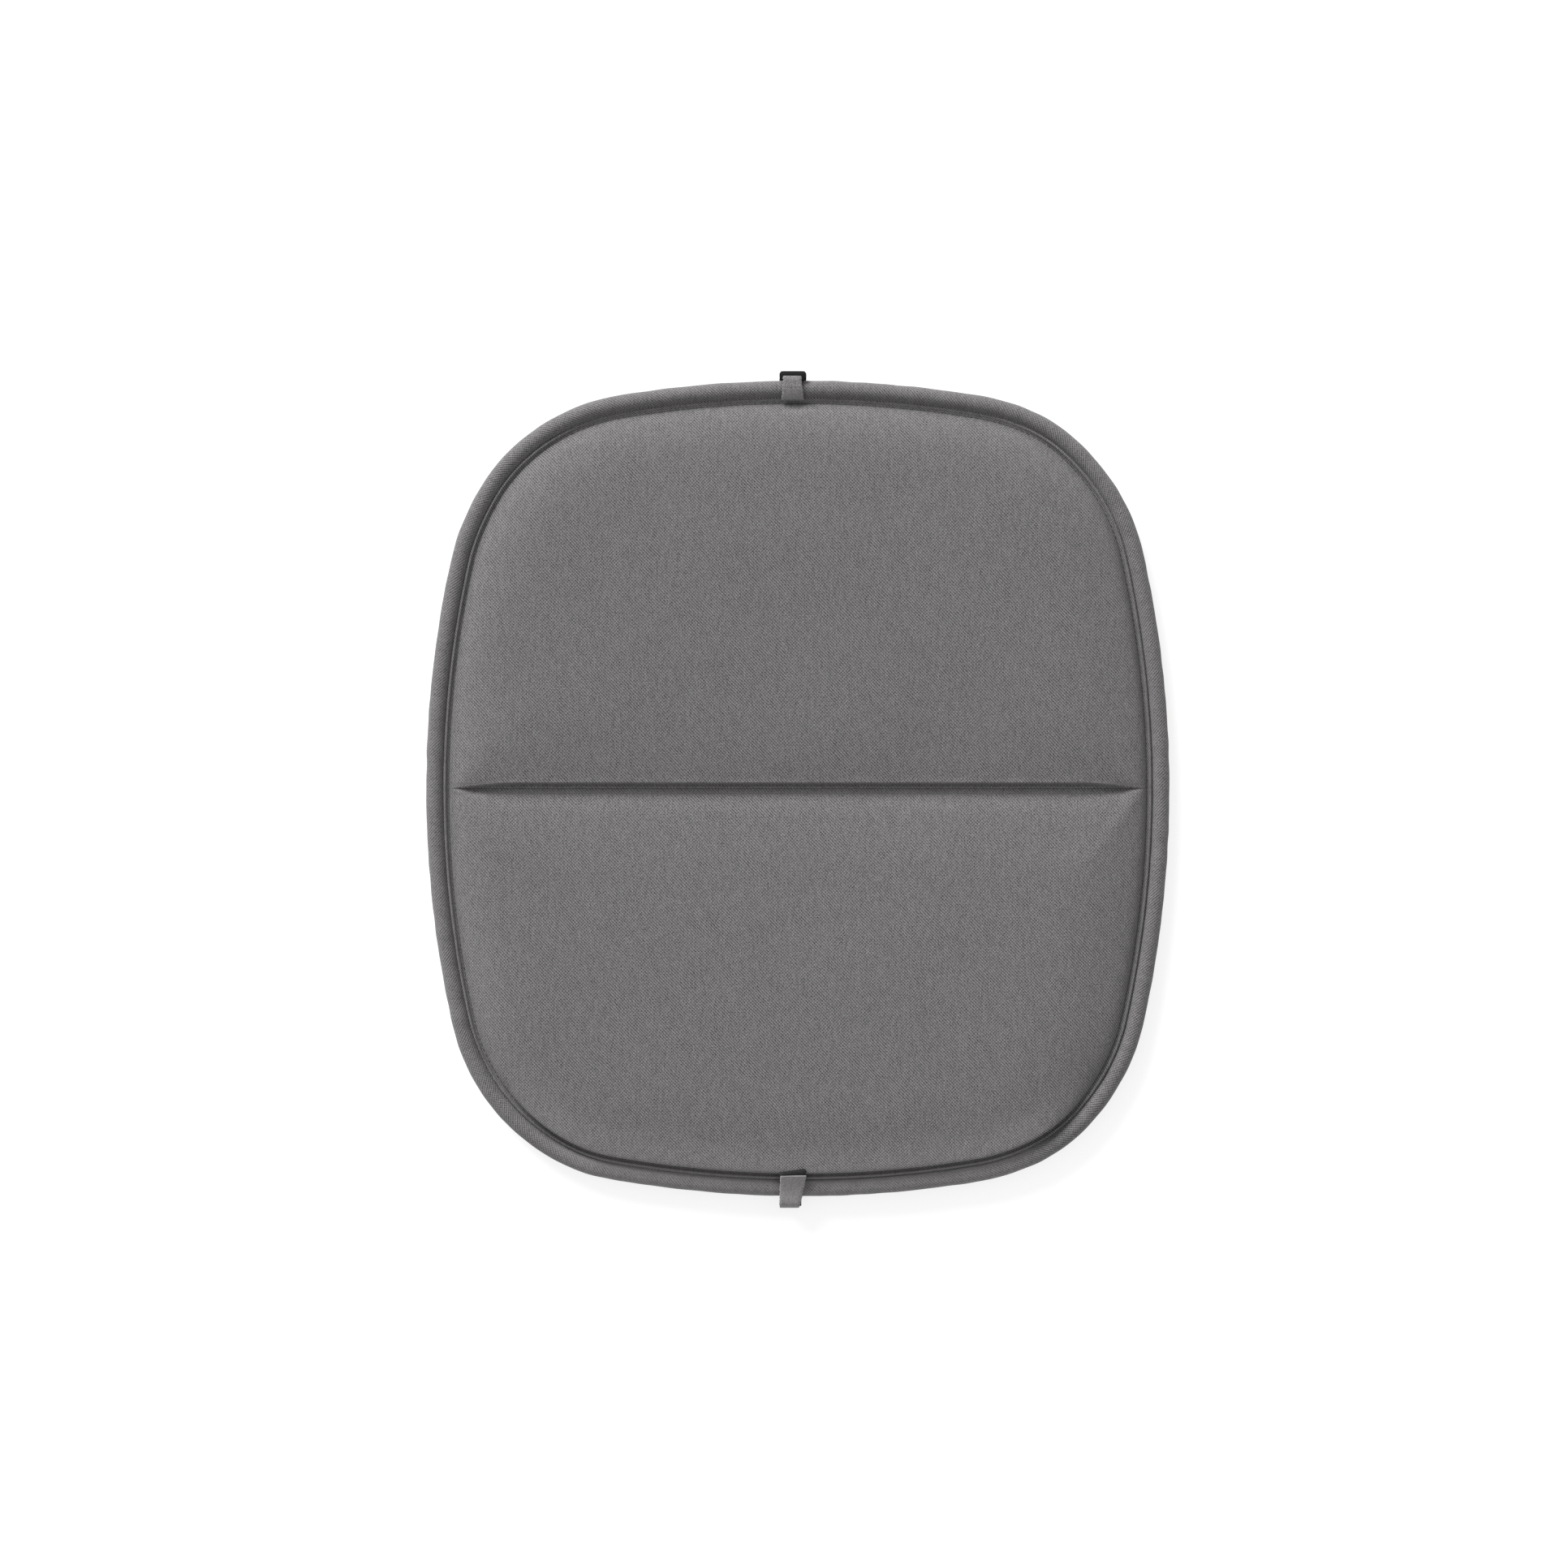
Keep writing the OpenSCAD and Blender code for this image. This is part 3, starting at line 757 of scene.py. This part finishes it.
BELLY_ROWS = [COVER_EDGE + 0.5 * step for step in range(7)]
BELLY_RINGS = [
    (13.1, 0.0), (13.6, 0.5), (14.3, 1.2), (15.2, 2.1), (16.5, 3.4), (18, 5), (20, 7),
    (22.5, 9.5), (25.5, 12.5), (29, 16), (33, 20), (38, 26), (44, 33), (50, 40), (55, 46),
]
bottom_cover = two_halves(
    BELLY_ROWS, BELLY_RINGS, CORE, belly_height, lambda x, y: np.stack([x, y], -1),
    "bottom_cover", cover_cloth, up=False,
)


# --- Filling ---
COVER_T = 0.9
WADDING_T = 3.4


def under_crown(drop, reach):
    """Height drop mm below the crown, where the crown is also measured reach mm outwards."""

    def at(x, y):
        inset, nx, ny = edge_place(x, y)
        out = crown_height(x + nx * reach, y + ny * reach)
        in_y = crown_height(x, y - np.sign(y) * reach)
        return np.minimum(np.minimum(out, in_y), crown_height(x, y)) - drop

    return at


FILL_RINGS = [(17.5, 5.5), (18.5, 7), (20, 9), (23, 12), (28, 16), (34, 22), (42, 31), (52, 41)]
halves = {"rear": 1, "front": -1}
fillings = {}
for half, side in halves.items():
    fillings["wadding", half] = filling(
        half + "_wadding", side, wadding_fibre,
        under_crown(COVER_T + 0.3, 1.5), under_crown(COVER_T + WADDING_T, 1.5), FILL_RINGS,
    )
    fillings["foam", half] = filling(
        half + "_foam", side, foam_cells,
        under_crown(COVER_T + WADDING_T + 0.4, 1.5),
        lambda x, y: belly_height(x, y) + COVER_T + 0.3, FILL_RINGS,
    )


# --- Piping ---
def full_turns(steps, inset):
    """Directions round the whole edge, evenly spaced along it, and the places along it."""
    shares = np.arange(steps // 2) / (steps // 2)
    half = turns_by_length(inset, 0, shares)
    turns = np.concatenate([half, half + math.pi])
    x, y = outline(turns, inset)
    step = np.hypot(np.diff(x, append=x[0]), np.diff(y, append=y[0]))
    return turns, np.concatenate([[0], np.cumsum(step)])


def edge_sweep(name, section, material, steps, wobble, seed):
    """Carries a closed section of (inset, height) points round the whole edge."""
    section = np.array(section)
    turns, along = full_turns(steps, PIPING_R)
    girth = np.linalg.norm(np.diff(section, axis=0, append=section[:1]), axis=1)
    girth = np.concatenate([[0], np.cumsum(girth)])
    rows, cols = len(turns), len(section)
    turn = np.repeat(turns, cols)
    inset, height = np.tile(section[:, 0], rows), np.tile(section[:, 1], rows)
    x0, y0 = outline(turn, PIPING_R)
    swell = 1 + wobble * ripples(x0, y0, 16.0, seed)
    lift = wobble * PIPING_R / 2 * ripples(x0, y0, 26.0, seed + 1)
    inset = PIPING_R + (inset - PIPING_R) * np.where(inset < 2 * PIPING_R, swell, 1)
    height = SEAM_Z + (height - SEAM_Z) * swell + lift
    x, y = outline(turn, inset)
    quads, r, c = grid_quads(rows, cols, True, True)
    flat = np.stack([along[r], girth[c]], -1).reshape(-1, 2)
    return add_mesh(name, np.column_stack([x, y, height]), quads, flat, material)


def round_part(radius, start, stop, count):
    """Points of the piping's section, by angle from its inner side over the top, in degrees."""
    angles = np.radians(np.linspace(start, stop, count))
    return [(PIPING_R + radius * math.cos(a), SEAM_Z + radius * math.sin(a)) for a in angles]


FLANGE_W, FLANGE_HALF = 4.2, 0.3  # width and half the thickness of the flange in the seam
PIPING_STEPS = 840
BEAD_IN = 2 * PIPING_R  # inset of the bead's inner side
PIPING_SECTION = (
    [(BEAD_IN + FLANGE_W, SEAM_Z - FLANGE_HALF), (BEAD_IN + FLANGE_W, SEAM_Z + FLANGE_HALF)]
    + [(BEAD_IN + 1.8, SEAM_Z + FLANGE_HALF + 0.1), (BEAD_IN + 0.7, SEAM_Z + 0.8)]
    + round_part(PIPING_R, 20, 352, 30)
    + [(BEAD_IN + 0.8, SEAM_Z - FLANGE_HALF)]
)
piping = edge_sweep("piping", PIPING_SECTION, piping_cloth, PIPING_STEPS, 0.022, 31)
# Painted light on the front piping, and more in its creases, where the crown's shade falls
PIPING_FRONT_LIGHT, PIPING_CREASE_LIGHT = 5.0, 19.0


def paint_piping(piece):
    """Paints light on the piping along the front edge, where the crown's shade falls on it,
    most of all in the creases on both sides of its flange."""
    place = place_of(piece)
    inset, _, ny = edge_place(place[:, 0], place[:, 1])
    crease = smoothstep(inset, 5.5, 8.5) - 0.6 * smoothstep(inset, 9.0, 9.7)
    crease = crease + 0.5 * smoothstep(inset, 10.2, 11.2)
    keep_painted_light(piece, front_end(ny) * (PIPING_FRONT_LIGHT + PIPING_CREASE_LIGHT * crease))


paint_piping(piping)


def piping_cord():
    """Three-strand cotton cord that fills the piping."""
    steps, sides, twist = PIPING_STEPS, 18, 24.0
    turns, along = full_turns(steps, PIPING_R)
    angle = np.linspace(0, 2 * math.pi, sides, endpoint=False)
    twists = np.round(along[-1] / twist) * along[:-1, None] / along[-1]
    lobes = angle[None, :] + 2 * math.pi * twists
    radius = (PIPING_R - 1.15) * (1 - 0.16 * (1 - np.abs(np.cos(1.5 * lobes))))
    inset = PIPING_R + radius * np.cos(angle)[None, :]
    height = SEAM_Z + radius * np.sin(angle)[None, :]
    x, y = outline(np.repeat(turns, sides), inset.ravel())
    quads, r, c = grid_quads(steps, sides, True, True)
    flat = np.stack([along[r], c * (2 * math.pi * PIPING_R / sides)], -1).reshape(-1, 2)
    return add_mesh(
        "piping_cord", np.column_stack([x, y, height.ravel()]), quads, flat, cord_cotton
    )


cord = piping_cord()


# --- Stitches ---
def stitches(name, track, length, pitch, radius, material, up=1, rise=0.35):
    """Separate stitches along a line. track gives x, y, z at places in mm along it."""
    count = int(length / pitch)
    pitch = length / count
    rings, sides = 5, 6
    span = np.linspace(0.04, 0.96, rings)
    place = (np.arange(count)[:, None] + span[None, :]) * pitch
    x, y, z = track(place.ravel())
    x1, y1, z1 = track(place.ravel() + 0.05)
    along = np.stack([x1 - x, y1 - y, z1 - z], -1)
    along /= np.linalg.norm(along, axis=1)[:, None]
    up_way = np.array([0, 0, 1.0])
    out = np.cross(along, up_way)
    arch = np.tile(np.sin(math.pi * (span - 0.04) / 0.92) * rise, count) * up
    thick = np.tile(0.55 + 0.45 * np.sin(math.pi * np.linspace(0.06, 0.94, rings)), count) * radius
    angle = np.linspace(0, 2 * math.pi, sides, endpoint=False)
    centre = np.stack([x, y, z + arch], -1)[:, None, :]
    ring = out[:, None, :] * np.cos(angle)[None, :, None] + up_way * np.sin(angle)[None, :, None]
    points = (centre + ring * thick[:, None, None]).reshape(-1, 3)
    quads, r, c = grid_quads(rings, sides, loop_cols=True)
    size = rings * sides
    offsets = np.arange(count)[:, None, None] * size
    faces = (quads[None] + offsets).reshape(-1, 4).tolist()
    flat = np.tile(np.stack([c * 0.25, r * pitch / rings], -1), (count, 1, 1)).reshape(-1, 2)
    caps = (range(sides - 1, -1, -1), range(size - sides, size))
    ends = [[one * size + at for at in cap] for one in range(count) for cap in caps]
    flat = np.concatenate([flat, np.zeros((len(ends) * sides, 2))])
    return add_mesh(name, points, faces + ends, flat, material)


def edge_track(inset, height):
    """Track round the whole edge at this inset, on the surface that height gives."""
    turns, along = full_turns(1600, inset)
    turns = np.append(turns, turns[0] + 2 * math.pi)

    def at(place):
        x, y = outline(np.interp(place % along[-1], along, turns), inset)
        return x, y, height(x, y)

    return at, along[-1]


THREAD = (3.3, 0.24, grey_thread)  # the stitches' pitch, and the thread's radius and material
top_track, edge_length = edge_track(GROOVE, crown_height)
edge_stitches = stitches("edge_stitches", top_track, edge_length, *THREAD)
low_track, edge_length = edge_track(GROOVE - 0.4, belly_height)
edge_stitches_under = stitches("edge_stitches_under", low_track, edge_length, *THREAD, up=-1)
CHANNEL_END = HALF_W - GROOVE - 1.5
channel_top = stitches(
    "channel_stitches",
    lambda s: (s - CHANNEL_END, 0 * s, 0 * s + GROOVE_Z + 0.15),
    2 * CHANNEL_END, *THREAD,
)
channel_under = stitches(
    "channel_stitches_under",
    lambda s: (s - CHANNEL_END, 0 * s, 0 * s + BELLY_EDGE_Z - 0.15),
    2 * CHANNEL_END, *THREAD, up=-1, rise=0.2,
)


# --- Straps ---
TAPE_T, TAB_T, PATCH_T = 1.2, 1.0, 0.9
TAPE_MID = PIPING_R + 0.2 + TAPE_T / 2  # the tape's middle layer over the piping's cord
TAB_MID = TAPE_MID + (TAPE_T + TAB_T) / 2 + 0.06
TAPE_OUT = STRAP_Y - TAPE_T / 2
BEND_R = 3.2
BEND = np.array([TAPE_OUT - BEND_R, SEAM_Z + 1.6])
BEAD = np.array([HALF_D - PIPING_R, SEAM_Z])


def band(name, side, path, half_width, thick, material, shift=0, slant=0, frayed=0, askew=0):
    """A flat strip. path is (distance from the middle, height) points; half_width is a
    function of the distance along it and of its whole length. shift moves it off the straps'
    line, and slant moves it on by so much for each mm along the strip. frayed is how uneven
    its edges are and askew how far its start is cut out of square, in mm."""
    path = np.array(path, float)
    chord = np.concatenate([[0], np.cumsum(np.linalg.norm(np.diff(path, axis=0), axis=1))])
    even, ends = np.linspace(0, chord[-1], int(chord[-1] / 0.5)), np.linspace(0, 2.4, 9)
    place = np.unique(np.concatenate([even, ends, chord[-1] - ends]))
    dist, height = (smooth_curve(np.column_stack([chord, line]))(place) for line in path.T)
    way = np.stack([np.gradient(dist, place), np.gradient(height, place)], -1)
    way /= np.linalg.norm(way, axis=1)[:, None]
    half = half_width(place, chord[-1])

    across = np.concatenate([[-1.0], np.linspace(-0.95, 0.95, 9), [1.0]])
    rounded = np.clip((np.abs(across) - 0.9) / 0.1, 0, 1)
    layer = np.sqrt(np.clip(1 - rounded**2, 0.05, 1)) * thick / 2
    a, b = np.concatenate([across, across[::-1]]), np.concatenate([layer, -layer[::-1]])
    edge = np.where(a > 0, 1, 2) * 40.0 + place[:, None]
    fray = frayed * ripples(edge, 0 * edge, 1.7, 51) * np.sign(a) * np.abs(a) ** 4
    middle = STRAP_X + shift + slant * (place - chord[-1] / 2)
    skew = askew * a * (1 - smoothstep(place, 3.0, 9.0))[:, None]
    x = half[:, None] * a + middle[:, None] + fray
    y = dist[:, None] - skew - way[:, 1:] * b
    z = height[:, None] + way[:, :1] * b

    rows, cols = len(place), len(a)
    quads, r, c = grid_quads(rows, cols, loop_cols=True)
    flat = np.stack([(np.append(a, a[0]) * half.max())[c], place[r]], -1)
    caps = [list(range(cols - 1, -1, -1)), [(rows - 1) * cols + at for at in range(cols)]]
    if side > 0:
        quads, flat, caps = quads[:, ::-1], flat[:, ::-1], [cap[::-1] for cap in caps]
    flat = np.concatenate([flat.reshape(-1, 2), np.zeros((2 * cols, 2))])
    points = np.stack([x, side * y, z], -1).reshape(-1, 3)
    return add_mesh(name, points, quads.tolist() + caps, flat, material)


def arc(centre, radius, start, stop, count):
    """Path along an arc, by angle from outwards over the top, in degrees."""
    angles = np.radians(np.linspace(start, stop, count))
    return [tuple(centre + radius * np.array([math.cos(a), math.sin(a)])) for a in angles]


def from_edge(path):
    """A path of (inset, height) points."""
    return [(HALF_D - inset, height) for inset, height in path]


def below_crown(path):
    """A path of (inset, drop below the crown) points."""
    return from_edge([(inset, CROWN_Z - drop) for inset, drop in path])


def rounded_ends(half, corner):
    """Half width of a strip with rounded corners at its start and its end."""

    def at(place, length):
        cut = np.clip(corner - np.minimum(place, length - place), 0, corner)
        return half - corner + np.sqrt(np.maximum(corner**2 - cut**2, 0.01))

    return at


# The tape's way from the outer bend back under the pad, where it lies on its loop patch
FLAP = [
    (TAPE_OUT, 4.2), (TAPE_OUT - 0.35, 2.5), (TAPE_OUT - 1.6, 1.45), (TAPE_OUT - 4.6, 1.65),
] + from_edge([(3.0, 2.4), (8.0, 3.7), (11.0, 4.15), (14.0, 3.9), (20.0, 2.2), (25.8, 1.0)])
# The front tape and its tab, from the crown's shoulder to the piping's top
SHOULDER = below_crown([
    (15.2, 1.2), (14.2, 1.25), (13.3, 1.5), (12.3, 2.15), (9.0, 4.05), (6.0, 5.6), (3.3, 6.6),
])
TAB_LEAD = below_crown([(12.1, 1.05), (9.0, 2.85), (6.0, 4.4), (3.2, 5.4)])
PATCH_PATH = from_edge([(14.2, 5.8), (20.0, 3.6), (25.6, 2.35)])


def strap_tape(half, side):
    """The tape with its flap. Over the piping it is folded narrower than the tab on it."""
    if half == "front":
        lead, folded, bent = SHOULDER, 0.38, 0.0
        fold_from, fold_to = (2.8, 4.6), (36.0, 40.0)
        looks = {"material": worn_tape, "frayed": 0.12, "askew": 0.9}
    else:
        lead, folded, bent = arc(BEAD, TAPE_MID, 158, 75, 9), 0.28, 0.09
        fold_from, fold_to = (-2.0, -1.0), (9.0, 13.0)
        looks = {"material": tape_weave, "frayed": 0.04}
    whole = rounded_ends(STRAP_W / 2, 1.6)

    def half_width(place, length):
        over = smoothstep(place, *fold_from) * (1 - smoothstep(place, *fold_to))
        at_bend = smoothstep(place, 14.6, 17.0) * (1 - smoothstep(place, 24.0, 27.0))
        return whole(place, length) * (1 - folded * over) * (1 - bent * at_bend)

    path = lead + arc(BEND, BEND_R, 60, 0, 7) + FLAP
    return band(half + "_tape", side, path, half_width, TAPE_T, **looks)


TAB_WIDE = {"front": 14.2, "rear": 12.2}  # widths of the tabs at their start


def strap_tab(half, side):
    """The cloth tab, which tapers outwards."""
    out, wide = BEND_R + TAB_MID - TAPE_MID, TAB_WIDE[half]
    if half == "front":
        path = TAB_LEAD + arc(BEND, out, 58, 12, 6)
        narrow, place = 10.8, {"shift": -0.9, "slant": -0.11}
    else:
        path = arc(BEAD, TAB_MID, 155, 75, 9) + arc(BEND, out, 84, 80, 2)
        narrow, place = 10.0, {"shift": -0.3, "slant": -0.02}

    def half_width(place, length):
        return (wide + (narrow - wide) * (place / length) ** 1.3) / 2

    tab = band(half + "_tab", side, path, half_width, TAB_T, tab_cloth, frayed=0.16, **place)
    if half == "rear":
        # Painted shade: the rear tab is darker over the piping, where the key light falls on it
        y = place_of(tab)[:, 1]
        keep_painted_light(tab, -5.5 * smoothstep(y, 216, 220) * (1 - smoothstep(y, 223.5, 227.0)))
    return tab


def tab_seams(half, side):
    """The two rows of stitches across the tab."""
    if half == "front":
        rows = below_crown([(11.2, 2.1), (3.4, 4.95)])
    else:
        rows = arc(BEAD, TAB_MID + TAB_T / 2 + 0.05, 149, 84, 2)
    start = STRAP_X + 1.2 - TAB_WIDE[half] / 2
    return [
        stitches(
            f"{half}_tab_stitches_{number}",
            lambda s, y=y, z=z: (s + start, 0 * s + side * y, 0 * s + z),
            TAB_WIDE[half] - 2.4, 2.0, 0.10, tab_thread, rise=0.03,
        )
        for number, (y, z) in enumerate(rows)
    ]


def loop_patch(half, side):
    """The patch of loops under the pad that the flap closes on."""
    ends = rounded_ends(PATCH_W / 2, 1.0)
    return band(half + "_patch", side, PATCH_PATH, ends, PATCH_T, loop_pile, frayed=0.06)


straps = {
    half: [make(half, side) for make in (strap_tape, strap_tab, loop_patch, tab_seams)]
    for half, side in halves.items()
}

# --- What moves with what ---
top_cover = thicken(top_cover, COVER_T * 0.6)
bottom_cover = thicken(bottom_cover, COVER_T * 0.6)


def bend_at_fold(piece):
    """Bakes the piece's placement into its mesh."""
    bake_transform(piece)


for piece, reach, nodes in (
    (top_cover, 1.0, ["top_cover_rear", "top_cover_front"]),
    (bottom_cover, 1.5, ["bottom_cover_rear", "bottom_cover_front"]),
    (piping, 12.0, ["piping_cover_rear", "piping_cover_front"]),
    (cord, 12.0, ["piping_cord_rear", "piping_cord_front"]),
    (edge_stitches, 4.0, ["edge_thread_rear", "edge_thread_front"]),
    (edge_stitches_under, 4.0, []),
):
    bend_at_fold(piece)
    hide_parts(*nodes)

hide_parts("channel_thread")
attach(channel_top, "rear_half")
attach(channel_under, "rear_half")

for half, side in halves.items():
    body, flap = half + "_half", half + "_flap"
    for kind, node in (("wadding", "wadding_"), ("foam", "foam_core_")):
        piece = fillings[kind, half]
        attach(piece, body)
        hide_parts(node + half)
    tape, tab, patch, bars = straps[half]
    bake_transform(tape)
    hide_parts(half + "_strap_tape", half + "_strap_flap")
    for piece, node, kind in (
        (tab, "_strap_tab", "tab_cloth"), (patch, "_loop_patch", "loop_pile"),
        (bars[0], "_strap_thread", "thread"),
    ):
        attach(piece, body)
        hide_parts(half + node)
    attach(bars[1], body)


# --- Floor, light and camera ---
FLOOR_GREY, FLOOR_GLOW = 0.354, 0.72  # the floor's reflectance and its own light
FLOOR_LOW = 0.2  # how far the floor lies below the pad, in mm


def make_floor():
    """A plain white sweep, which glows a little so that only the pad's shadow shows on it."""
    shade = Shader("floor", 0.9)
    place = shade.node("ShaderNodeTexCoord", {}, output=3)
    grain = shade.node("ShaderNodeTexNoise", {"Vector": place, "Scale": 40.0, "Detail": 2.0})
    value = shade.math("MULTIPLY_ADD", grain, 0.004, FLOOR_GREY)
    shade.tree.links.new(shade.grey(value, (1, 1, 1)), shade.surface.inputs["Base Color"])
    shade.surface.inputs["Emission Color"].default_value = (1, 1, 1, 1)
    shade.surface.inputs["Emission Strength"].default_value = FLOOR_GLOW
    mesh = bpy.data.meshes.new("floor")
    reach, low = 6.0, -FLOOR_LOW * MM
    mesh.from_pydata(
        [(-reach, -reach, low), (reach, -reach, low), (reach, reach, low), (-reach, reach, low)],
        [], [(0, 1, 2, 3)],
    )
    mesh.materials.append(shade.material)
    add_object("floor", mesh)


make_floor()

FILL = 0.675  # radiance of the white surroundings
KEY = 5.2  # strength of the key light, from the rear and a little from the left
KEY_ELEVATION, KEY_AZIMUTH = math.radians(24), math.radians(30)

world = bpy.data.worlds.new("studio")
world.use_nodes = True
surroundings = world.node_tree.nodes["Background"].inputs
surroundings["Color"].default_value = (1, 1, 1, 1)
surroundings["Strength"].default_value = FILL
bpy.context.scene.world = world

key_data = bpy.data.lights.new("key", "SUN")
key_data.energy = KEY
key_data.angle = math.radians(34)
key = add_object("key", key_data)
key.rotation_euler = (math.pi / 2 - KEY_ELEVATION, 0, KEY_AZIMUTH + math.pi)

# The camera looks straight down, a little to the left of the pad's middle and behind it
CAMERA_X, CAMERA_Y = -0.0076, 0.0025
CAMERA_ABOVE, FRAME_W = 3.0, 0.865
camera_data = bpy.data.cameras.new("camera")
camera_data.angle = 2 * math.atan(FRAME_W / 2 / CAMERA_ABOVE)
camera_data.clip_end = 20
camera = add_object("camera", camera_data)
camera.location = (CAMERA_X, CAMERA_Y, SEAM_Z * MM + CAMERA_ABOVE)
bpy.context.scene.camera = camera
bpy.context.scene.view_settings.view_transform = "Standard"
